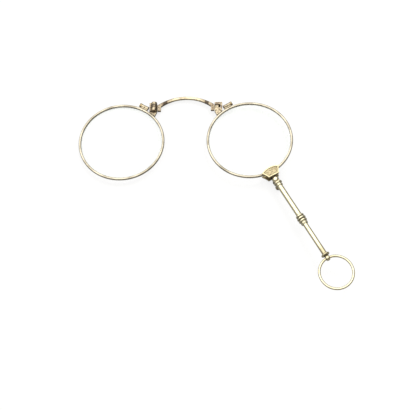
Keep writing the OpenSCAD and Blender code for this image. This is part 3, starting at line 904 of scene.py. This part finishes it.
class LORGNETTE_OT_bridge(bpy.types.Operator):
    """Finishes the bridge bar and chases marks across its front at each shoulder"""

    bl_idname = "lorgnette.bridge"
    bl_label = "Bridge"

    def execute(self, context):
        sizes = context.scene.lorgnette_sizes
        softened("bridge_bar", sizes.edge)
        bar = touchable("bridge_bar")
        paths = [
            self.mark_across(bar, side, SHOULDER + mark * CHASE_STEP)
            for side in (-1, 1)
            for mark in range(CHASE_MARKS)
        ]
        mesh = swept(paths, sizes.chase, "bridge_chasing", "polished_gold")
        show(mesh, "bridge_chasing", "bridge", "polished_gold")
        return {"FINISHED"}

    def mark_across(self, bar, side, away):
        """A chevron across the bar's front, that far from the bridge's middle and pointing to it."""
        x = BRIDGE_MIDDLE + side * away
        lean = side * CHASE_STEP
        low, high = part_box("bridge_bar")
        level = (low.z + high.z) / 2
        top = bar.ray_cast(Vector((x, high.y + MM, level)), Vector((0, -1, 0)))[0].y
        foot = bar.ray_cast(Vector((x, low.y - MM, level)), Vector((0, 1, 0)))[0].y
        path = []
        for i in range(CHASE_SAMPLES):
            share = i / (CHASE_SAMPLES - 1)
            fold = 1 - abs(2 * share - 1)
            y = foot + (top - foot) * (CHASE_MARGIN + (1 - 2 * CHASE_MARGIN) * share)
            hit = bar.ray_cast(Vector((x - lean * (fold - 0.5), y, high.z + MM)), Vector((0, 0, -1)))[0]
            if hit:
                path.append((hit, FINE_END + (1 - FINE_END) * fold))
        return path


def spiral(centre, start, turns, outer, inner, samples):
    """Points that wind in round centre, from the outer radius to the inner one, and grow thinner."""
    points = []
    for i in range(samples + 1):
        share = i / samples
        radius = outer * (inner / outer) ** share
        angle = start + turns * FULL_TURN * share
        x = centre[0] + radius * math.cos(angle)
        y = centre[1] + radius * math.sin(angle)
        points.append((x, y, 1 - (1 - FINE_END) * share))
    return points


BEND_SAMPLES = 14


def bend(start, pull, end):
    """Points along a bend from start almost to end, drawn towards pull, thin at the start."""
    points = []
    for i in range(BEND_SAMPLES):
        t = i / BEND_SAMPLES
        x = (1 - t) ** 2 * start[0] + 2 * t * (1 - t) * pull[0] + t ** 2 * end[0]
        y = (1 - t) ** 2 * start[1] + 2 * t * (1 - t) * pull[1] + t ** 2 * end[1]
        points.append((x, y, FINE_END + (1 - FINE_END) * t))
    return points


# A leaf's half width and height for a length of 1, and its section from edge to edge
LEAF_STEPS = 10
LEAF_HALF = 0.24
LEAF_RISE = 0.22
LEAF_SECTION = ((-1, 0), (-0.5, 0.7), (0, 1), (0.5, 0.7), (1, 0))


def leaf_marker():
    """A rounded leaf, one unit long from its foot at the origin, lying along x."""
    shape = bmesh.new()
    foot, tip = shape.verts.new((0, 0, 0)), shape.verts.new((1, 0, 0))
    rows = []
    for i in range(1, LEAF_STEPS):
        t = i / LEAF_STEPS
        half = LEAF_HALF * math.sin(math.pi * t ** 0.8) ** 0.8
        rise = LEAF_RISE * math.sin(math.pi * (0.08 + 0.86 * t)) ** 0.7
        rows.append([shape.verts.new((t, half * side, rise * up)) for side, up in LEAF_SECTION])
    for row, point in ((rows[0], foot), (rows[-1], tip)):
        for a, b in zip(row, row[1:] + row[:1]):
            shape.faces.new((point, a, b))
    skin(shape, rows)
    return mesh_of(shape, "leaf")


# The scroll's places on the shield, in millimetres: out along the handle, then across it
BIG_COIL = (0.15, 1.72)
TIP_COIL = (-0.42, 2.95)
FOOT_COIL = (1.35, 0.72)
STEM_FOOT = (1.75, 0.0)
STEM_HEAD = (-0.35, 0.0)
BIG_COIL_SAMPLES = 44
SMALL_COIL_SAMPLES = 26
# How far out from the big coil's centre its leaves stand
LEAF_RING = 0.93
# Where the carving's centre lies along the shield, as a share of its length
SHIELD_CENTRE = 0.44


class LORGNETTE_OT_shield(bpy.types.Operator):
    """Finishes both shield plates and carves scrolls and leaves on the front one's field"""

    bl_idname = "lorgnette.shield"
    bl_label = "Shield"

    def execute(self, context):
        sizes = context.scene.lorgnette_sizes
        for node in ("front_plate", "back_plate"):
            softened(node, sizes.edge)
        low, high = reach("front_plate")
        centre = low.x + (high.x - low.x) * SHIELD_CENTRE
        field = HANDLE @ Matrix.Translation((centre, 0, high.z - sizes.field_depth))
        lines = [
            [(out, side * across, share) for out, across, share in line]
            for side in (-1, 1)
            for line in self.scroll()
        ]
        lines.append(bend(STEM_FOOT, (0.7, 0), STEM_HEAD))
        paths = [
            [(field @ Vector((out * MM, across * MM, 0)), share) for out, across, share in line]
            for line in lines
        ]
        mesh = swept(paths, sizes.carving, "shield_scroll", "engraved_gold")
        show(mesh, "shield_scroll", "handle", "engraved_gold")
        leaves = []
        for out, across, turn, size in self.leaves():
            for side in (-1, 1) if across else (1,):
                spot = Matrix.Translation((out * MM, side * across * MM, 0))
                leaves.append((field @ spot @ Matrix.Rotation(side * turn, 4, "Z"), size * MM))
        mesh = repeated(leaf_marker(), leaves, "shield_leaves", "engraved_gold")
        show(mesh, "shield_leaves", "handle", "engraved_gold")
        return {"FINISHED"}

    def scroll(self):
        """The lines on one side of the shield."""
        return (
            bend(STEM_FOOT, (1.5, 1.5), (0.85, 2.2))
            + spiral(BIG_COIL, 0.6, 1.7, 0.85, 0.16, BIG_COIL_SAMPLES),
            bend((0.6, 2.35), (0.3, 2.8), (-0.2, 3.18))
            + spiral(TIP_COIL, 0.8, 1.3, 0.32, 0.1, SMALL_COIL_SAMPLES),
            bend(STEM_FOOT, (1.9, 0.5), (1.68, 0.72))
            + spiral(FOOT_COIL, 0.1, 1.2, 0.33, 0.1, SMALL_COIL_SAMPLES),
        )

    def leaves(self):
        """Leaves on one side: out, across, turn from the handle's line and length, in millimetres."""
        rows = [(STEM_HEAD[0], 0, math.pi, 1.05)]
        for i in range(1, 4):
            rows.append((STEM_HEAD[0], 0.02, math.pi - 0.55 * i, 1 - 0.13 * i))
        for i in range(5):
            angle = 1.9 + 0.62 * i
            out = BIG_COIL[0] + LEAF_RING * math.cos(angle)
            across = BIG_COIL[1] + LEAF_RING * math.sin(angle)
            rows.append((out, across, angle - 0.5, 0.5 - 0.03 * i))
        return rows + [
            (0.95, 2.2, 0.5, 0.55),
            (0.45, 2.75, 0.3, 0.6),
            (1.5, 1.35, 0.9, 0.5),
            (0.75, 0.1, 1.2, 0.5),
            (0.3, 0.08, 1.0, 0.45),
        ]


# The bead on the neck, in millimetres: pairs of place along the handle and distance out from its line
BEAD = (
    (21.0, 1.1), (21.15, 1.2), (21.4, 1.36), (21.75, 1.48), (22.15, 1.53),
    (22.55, 1.48), (22.9, 1.36), (23.15, 1.2), (23.3, 1.1),
)
# How far below the handle's line the bead is cut off, in millimetres
BEAD_FLOOR = -0.3
BEAD_STEPS = 24
# A rib of the button's milling: its radius, its sides and its share of the button's height
RIB_R = 0.07 * MM
RIB_SIDES = 6
RIB_SHARE = 0.72


class LORGNETTE_OT_catch(bpy.types.Operator):
    """Finishes the catch and the neck's bead, and mills the edge of the release button"""

    bl_idname = "lorgnette.catch"
    bl_label = "Catch"

    def execute(self, context):
        sizes = context.scene.lorgnette_sizes
        dress_node("catch_spring")
        for node in ("catch_block", "catch_lever", "catch_pin", "release_button"):
            softened(node, sizes.edge)
        low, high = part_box("release_button")
        radius = (high.x - low.x) / 2
        depth = (high.z - low.z) * RIB_SHARE
        rib = bmesh.new()
        bmesh.ops.create_cone(
            rib, cap_ends=True, segments=RIB_SIDES, radius1=RIB_R, radius2=RIB_R, depth=depth
        )
        places = []
        for i in range(sizes.milling):
            turn = FULL_TURN * i / sizes.milling
            spot = (low + high) / 2 + radius * Vector((math.cos(turn), math.sin(turn), 0))
            places.append((Matrix.Translation(spot) @ Matrix.Rotation(turn, 4, "Z"), 1))
        mesh = repeated(mesh_of(rib, "rib"), places, "button_milling", "old_gold")
        show(mesh, "button_milling", "catch", "old_gold")
        show(self.bead(), "neck_bead", "handle", "handle_gold")
        return {"FINISHED"}

    def bead(self):
        """A turned bead on the front of the neck, open towards the lever behind."""
        shape = bmesh.new()
        rows = []
        for along, out in BEAD:
            foot = math.asin(BEAD_FLOOR / out)
            ways = [foot + (math.pi - 2 * foot) * i / BEAD_STEPS for i in range(BEAD_STEPS + 1)]
            spots = [Vector((along, out * math.cos(way), out * math.sin(way))) * MM for way in ways]
            rows.append([shape.verts.new(HANDLE @ spot) for spot in spots])
        skin(shape, rows)
        for row in (rows[0], rows[-1]):
            shape.faces.new(row)
        mesh = mesh_of(shape, "neck_bead")
        mesh.set_sharp_from_angle(angle=SHARP_ANGLE)
        return mesh


class LORGNETTE_OT_handle(bpy.types.Operator):
    """Finishes the collar, both tubes, the turned knop, the end cap and the ring"""

    bl_idname = "lorgnette.handle"
    bl_label = "Handle"

    def execute(self, context):
        edge = context.scene.lorgnette_sizes.edge
        dress_node("handle_ring")
        for node in ("collar", "upper_tube", "handle_knop", "lower_tube", "end_cap"):
            softened(node, edge)
        return {"FINISHED"}


# A face of the hull that it lies on points down at least this far
STEEPEST_REST = -0.9
# Half the paper's side
PAPER_HALF = 4
ROOM_TONE = (1, 0.985, 0.955)
# The tent: its light at the crown and near the ground, the way to the crown, and where the bright part
# begins to fade and ends, as angles from that way
ROOM_BRIGHT = 2.1
ROOM_DARK = 0.25
TENT_CROWN = Vector((-0.26, 0.28, 0.92)).normalized()
TENT_FULL = math.radians(24)
TENT_EDGE = math.radians(70)
KEY_PLACE = Vector((0.28, 0.3, 0.55))
KEY_SIZE = 0.22
KEY_POWER = 1.6
SENSOR_WIDTH = 36


class LORGNETTE_OT_studio(bpy.types.Operator):
    """Lays white paper under the open lorgnette, hangs a light tent over it and places the camera"""

    bl_idname = "lorgnette.studio"
    bl_label = "Studio"

    def execute(self, context):
        self.lay_paper()
        self.hang_tent(context.scene)
        self.hang_lamp(context.scene)
        self.place_camera(context.scene)
        return {"FINISHED"}

    def rest_face(self):
        """The face of the object's hull that it lies on: a point and the normal, pointing up."""
        hull = bmesh.new()
        for piece in frame["nodes"].values():
            for vertex in piece.data.vertices:
                if vertex.normal.z < 0:
                    hull.verts.new(vertex.co)
        bmesh.ops.convex_hull(hull, input=hull.verts)
        weight = Vector((BRIDGE_MIDDLE, RIGHT_EYE.y))
        for face in hull.faces:
            if face.normal.z < STEEPEST_REST and self.covers(face, weight):
                found = face.verts[0].co.copy(), -face.normal
                hull.free()
                return found
        raise RuntimeError("the lorgnette lies on no face of its hull")

    def covers(self, face, spot):
        """True if a face, seen from above, lies over a spot."""
        corners = [vertex.co.to_2d() for vertex in face.verts]
        sides = []
        for start, end in zip(corners, corners[1:] + corners[:1]):
            edge, out = end - start, spot - start
            sides.append(edge.x * out.y - edge.y * out.x)
        return min(sides) >= 0 or max(sides) <= 0

    def lay_paper(self):
        """A sheet of paper under the face that the pair lies on, tilted as it is."""
        spot, normal = self.rest_face()
        sheet = bmesh.new()
        bmesh.ops.create_grid(sheet, x_segments=1, y_segments=1, size=PAPER_HALF)
        level = Matrix.Translation((0, 0, spot.dot(normal) / normal.z))
        sheet.transform(level @ UP.rotation_difference(normal).to_matrix().to_4x4())
        mesh = bpy.data.meshes.new("paper")
        sheet.to_mesh(mesh)
        sheet.free()
        mesh.materials.append(finish_named("floor_paper"))
        link(mesh, "paper")

    def hang_tent(self, scene):
        """A white tent: bright overhead, dim near the ground, plain white where it is seen directly."""
        world = bpy.data.worlds.new("tent")
        world.use_nodes = True
        scene.world = world
        world.node_tree.nodes.clear()
        tree = Tree(world.node_tree)
        way = tree.node("ShaderNodeTexCoord", output="Generated")
        product = {"operation": "DOT_PRODUCT"}
        facing = tree.node("ShaderNodeVectorMath", product, {0: way, 1: TENT_CROWN}, "Value")
        bright = tree.rise(facing, math.cos(TENT_EDGE), math.cos(TENT_FULL))
        strength = bright * (ROOM_BRIGHT - ROOM_DARK) + ROOM_DARK
        room = tree.node("ShaderNodeBackground", None, {"Color": (*ROOM_TONE, 1), "Strength": strength})
        white = tree.node("ShaderNodeBackground", None, {"Color": (1, 1, 1, 1)})
        seen = tree.node("ShaderNodeLightPath", output="Is Camera Ray")
        through = tree.node("ShaderNodeLightPath", output="Is Transmission Ray")
        both = tree.node("ShaderNodeMixShader", None, {0: seen + through, 1: room, 2: white})
        tree.node("ShaderNodeOutputWorld", None, {"Surface": both})

    def hang_lamp(self, scene):
        """One soft lamp, high up at the far right, that doesn't show in the metal."""
        lamp = bpy.data.lights.new("key_lamp", "AREA")
        lamp.size = KEY_SIZE
        lamp.energy = KEY_POWER
        lamp.color = ROOM_TONE
        holder = bpy.data.objects.new("key_lamp", lamp)
        scene.collection.objects.link(holder)
        holder.visible_glossy = False
        holder.location = KEY_PLACE
        holder.rotation_euler = (-KEY_PLACE).to_track_quat("-Z", "Y").to_euler()

    def place_camera(self, scene):
        """The camera of the photograph, and plain colours in the picture."""
        view = scene.lorgnette_view
        turn, lift, roll = view.azimuth, view.elevation, view.roll
        flat = math.cos(lift)
        back = Vector((math.sin(turn) * flat, -math.cos(turn) * flat, math.sin(lift)))
        right = Vector((math.cos(turn), math.sin(turn), 0))
        up = back.cross(right)
        rolled_right = math.cos(roll) * right + math.sin(roll) * up
        rolled_up = math.cos(roll) * up - math.sin(roll) * right
        lens = bpy.data.cameras.new("camera")
        lens.lens = view.focal
        lens.sensor_width = SENSOR_WIDTH
        lens.clip_start = 10 * MM
        camera = bpy.data.objects.new("camera", lens)
        scene.collection.objects.link(camera)
        eye = RIGHT_EYE + Vector(view.target) + back * view.distance
        camera.matrix_world = axes_at(eye, rolled_right, rolled_up, back)
        scene.camera = camera
        scene.view_settings.view_transform = "Standard"


PIECES = (
    LORGNETTE_OT_lenses, LORGNETTE_OT_eyewires, LORGNETTE_OT_hinges, LORGNETTE_OT_bridge,
    LORGNETTE_OT_shield, LORGNETTE_OT_catch, LORGNETTE_OT_handle, LORGNETTE_OT_studio,
)


class LORGNETTE_PT_panel(bpy.types.Panel):
    """Lists the sizes, the colours, the view and the pieces in the 3D view's sidebar"""

    bl_idname = "LORGNETTE_PT_panel"
    bl_label = "Lorgnette"
    bl_space_type = "VIEW_3D"
    bl_region_type = "UI"
    bl_category = "Lorgnette"

    def draw(self, context):
        scene = context.scene
        for group in (scene.lorgnette_sizes, scene.lorgnette_colours, scene.lorgnette_view):
            for name in group.__annotations__:
                self.layout.prop(group, name)
        for piece in PIECES:
            self.layout.operator(piece.bl_idname)


CLASSES = (LorgnetteSizes, LorgnetteColours, LorgnetteView, *PIECES, LORGNETTE_PT_panel)


def register():
    for part in CLASSES:
        bpy.utils.register_class(part)
    bpy.types.Scene.lorgnette_sizes = bpy.props.PointerProperty(type=LorgnetteSizes)
    bpy.types.Scene.lorgnette_colours = bpy.props.PointerProperty(type=LorgnetteColours)
    bpy.types.Scene.lorgnette_view = bpy.props.PointerProperty(type=LorgnetteView)


def unregister():
    del bpy.types.Scene.lorgnette_view
    del bpy.types.Scene.lorgnette_colours
    del bpy.types.Scene.lorgnette_sizes
    for part in reversed(CLASSES):
        bpy.utils.unregister_class(part)


def main():
    """Makes every piece and the stage."""
    register()
    bpy.ops.lorgnette.lenses()
    bpy.ops.lorgnette.eyewires()
    bpy.ops.lorgnette.hinges()
    bpy.ops.lorgnette.bridge()
    bpy.ops.lorgnette.shield()
    bpy.ops.lorgnette.catch()
    bpy.ops.lorgnette.handle()
    bpy.ops.lorgnette.studio()


if __name__ == "__main__":
    main()
